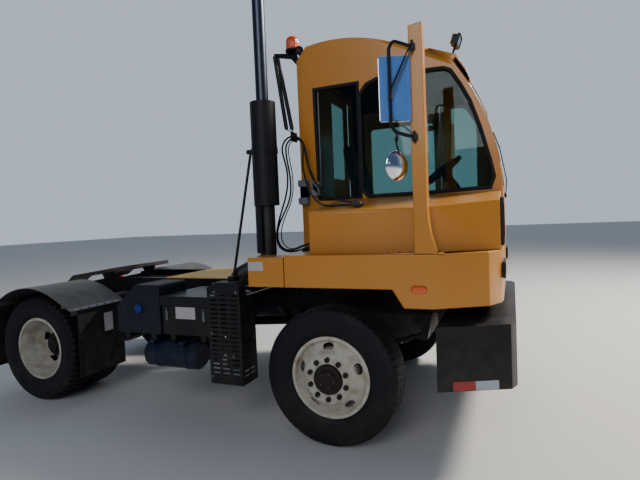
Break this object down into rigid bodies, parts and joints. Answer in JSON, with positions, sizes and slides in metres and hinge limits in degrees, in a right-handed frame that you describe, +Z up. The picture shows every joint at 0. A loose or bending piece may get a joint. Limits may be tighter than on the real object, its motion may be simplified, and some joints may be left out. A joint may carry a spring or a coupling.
{
  "type": "terminal tractor",
  "caption": "two-axle yard tractor with an offset tilting cab beside its hood, a lifting fifth wheel on a hinged boom, steered front axle, twin rear wheels and a tall exhaust stack",
  "frame": {"origin": "on the ground, at the centre of the bounding box seen from above", "axes": "X forward, Y to the driver's left, Z up"},
  "size_m": [5.17, 2.6374, 3.6541],
  "materials": {
    "yellow": "orange-yellow gloss",
    "black": "satin black paint",
    "navy": "dark blue paint",
    "engine": "painted casting",
    "steel": "dull exhaust tube",
    "stainless": "stainless",
    "chrome": "hard chrome",
    "wheel": "off-white enamel, dusty",
    "coupler": "dark grey, scuffed",
    "holder": "light grey casting",
    "tyre": "worn rubber",
    "rubber": "matt",
    "green": "matt",
    "plastic": "moulded",
    "fabric": "woven seat cloth",
    "lens": "moulded lens",
    "glass": "tinted"
  },
  "bodies": {
    "chassis": {"frame_rails": "black", "front_bumper": "black", "front_axle": "black", "leaf_springs": "black", "rear_axle": "black", "engine": "engine", "stack_cowl": "yellow", "exhaust_stack": "steel", "exhaust_shield": "black", "louvre_guard": "black", "stack_brace": "black", "battery_box": "black", "fluid_tank": "plastic", "tanks": "navy", "rear_fenders": "black", "mud_flaps": "rubber", "deck_plate": "yellow", "tail_lamps": "lens", "cab_steps": "black"},
    "cab": {"cab_shell": "yellow", "cab_roof": "yellow", "cab_floor": "black", "deck_skirt": "yellow", "hood": "yellow", "grille": "plastic", "lamps": "lens", "beacon": "lens", "hose_hanger": "black", "cab_glass": "glass", "seat": "fabric", "driving_controls": "plastic", "mirror_post": "yellow", "mirrors": "stainless", "hose_near": "rubber", "hose_far": "rubber", "hose_signal": "green", "hose_couplers": "coupler", "hose_fittings": "holder"},
    "battery_lid": {"battery_lid": "black"},
    "tie_rod": {"tie_rod": "black"},
    "knuckle_right": {"knuckle_right": "black"},
    "knuckle_left": {"knuckle_left": "black"},
    "lift_boom": {"lift_boom": "black"},
    "fifth_wheel": {"fifth_wheel": "black"},
    "lift_barrels": {"lift_barrels": "black"},
    "lift_rods": {"lift_rods": "chrome"},
    "tilt_barrel": {"tilt_barrel": "black"},
    "tilt_rod": {"tilt_rod": "chrome"},
    "left_door": {"left_door": "yellow"},
    "rear_door": {"rear_door": "yellow"},
    "front_roadwheel_right": {"front_tyre_right": "tyre", "front_wheel_right": "wheel"},
    "rear_roadwheel_right": {"rear_tyres_right": "tyre", "rear_wheels_right": "wheel"},
    "front_roadwheel_left": {"front_tyre_left": "tyre", "front_wheel_left": "wheel"},
    "rear_roadwheel_left": {"rear_tyres_left": "tyre", "rear_wheels_left": "wheel"}
  },
  "joints": [
    {"name": "cab_tilt", "type": "hinge", "parent": "chassis", "child": "cab", "pos_m": [2.415, 0, 1.1], "axis": [0, 1, 0], "range_deg": [0, 45]},
    {"name": "tilt_barrel_pivot", "type": "hinge", "parent": "chassis", "child": "tilt_barrel", "pos_m": [2.085, 0.62, 0.95], "axis": [0, 1, 0], "range_deg": [0, 42.37]},
    {"name": "tilt_rod_slide", "type": "slide", "parent": "tilt_barrel", "child": "tilt_rod", "axis": [-0.6402, 0, 0.7682], "range_m": [0, 0.2766]},
    {"name": "boom_lift", "type": "hinge", "parent": "chassis", "child": "lift_boom", "pos_m": [-0.665, 0, 0.93], "axis": [0, 1, 0], "range_deg": [0, 22]},
    {"name": "lift_barrel_pivot", "type": "hinge", "parent": "chassis", "child": "lift_barrels", "pos_m": [-0.965, 0, 0.66], "axis": [0, 1, 0], "range_deg": [0, 23.03]},
    {"name": "lift_rod_slide", "type": "slide", "parent": "lift_barrels", "child": "lift_rods", "axis": [-0.8412, 0, 0.5408], "range_m": [0, 0.1542]},
    {"name": "fifth_wheel_tilt", "type": "hinge", "parent": "lift_boom", "child": "fifth_wheel", "pos_m": [-1.645, 0, 1.065], "axis": [0, 1, 0], "range_deg": [0, 12]},
    {"name": "steer_left", "type": "hinge", "parent": "chassis", "child": "knuckle_left", "pos_m": [1.335, 0.905, 0.507], "axis": [0, 0, 1], "range_deg": [-38, 38]},
    {"name": "steer_right", "type": "hinge", "parent": "chassis", "child": "knuckle_right", "pos_m": [1.335, -0.905, 0.507], "axis": [0, 0, 1], "range_deg": [-38, 38]},
    {"name": "tie_rod_slide", "type": "slide", "parent": "chassis", "child": "tie_rod", "axis": [0, 1, 0], "range_m": [-0.14, 0.14]},
    {"name": "left_door_hinge", "type": "hinge", "parent": "cab", "child": "left_door", "pos_m": [1.865, 1.112, 2.12], "axis": [0, 0, -1], "range_deg": [0, 80]},
    {"name": "rear_door_slide", "type": "slide", "parent": "cab", "child": "rear_door", "axis": [0, -1, 0], "range_m": [0, 0.6]},
    {"name": "battery_lid_hinge", "type": "hinge", "parent": "chassis", "child": "battery_lid", "pos_m": [0.07, -0.59, 1.0303], "axis": [-1, 0, 0], "range_deg": [0, 95]},
    {"name": "front_spin_right", "type": "hinge", "parent": "knuckle_right", "child": "front_roadwheel_right", "pos_m": [1.335, -1.035, 0.507], "axis": [0, 1, 0], "continuous": true},
    {"name": "rear_spin_right", "type": "hinge", "parent": "chassis", "child": "rear_roadwheel_right", "pos_m": [-1.715, -1.035, 0.507], "axis": [0, 1, 0], "continuous": true},
    {"name": "front_spin_left", "type": "hinge", "parent": "knuckle_left", "child": "front_roadwheel_left", "pos_m": [1.335, 1.035, 0.507], "axis": [0, 1, 0], "continuous": true},
    {"name": "rear_spin_left", "type": "hinge", "parent": "chassis", "child": "rear_roadwheel_left", "pos_m": [-1.715, 1.035, 0.507], "axis": [0, 1, 0], "continuous": true}
  ],
  "couplings": [
    {"joint": "tilt_barrel_pivot", "follows": "cab_tilt", "ratio": 0.94103},
    {"joint": "tilt_rod_slide", "follows": "cab_tilt", "m_per_rad": 0.35152},
    {"joint": "lift_barrel_pivot", "follows": "boom_lift", "ratio": 1.0458},
    {"joint": "lift_rod_slide", "follows": "boom_lift", "m_per_rad": 0.40028},
    {"joint": "steer_right", "follows": "steer_left", "ratio": 1},
    {"joint": "tie_rod_slide", "follows": "steer_left", "m_per_rad": -0.21}
  ]
}
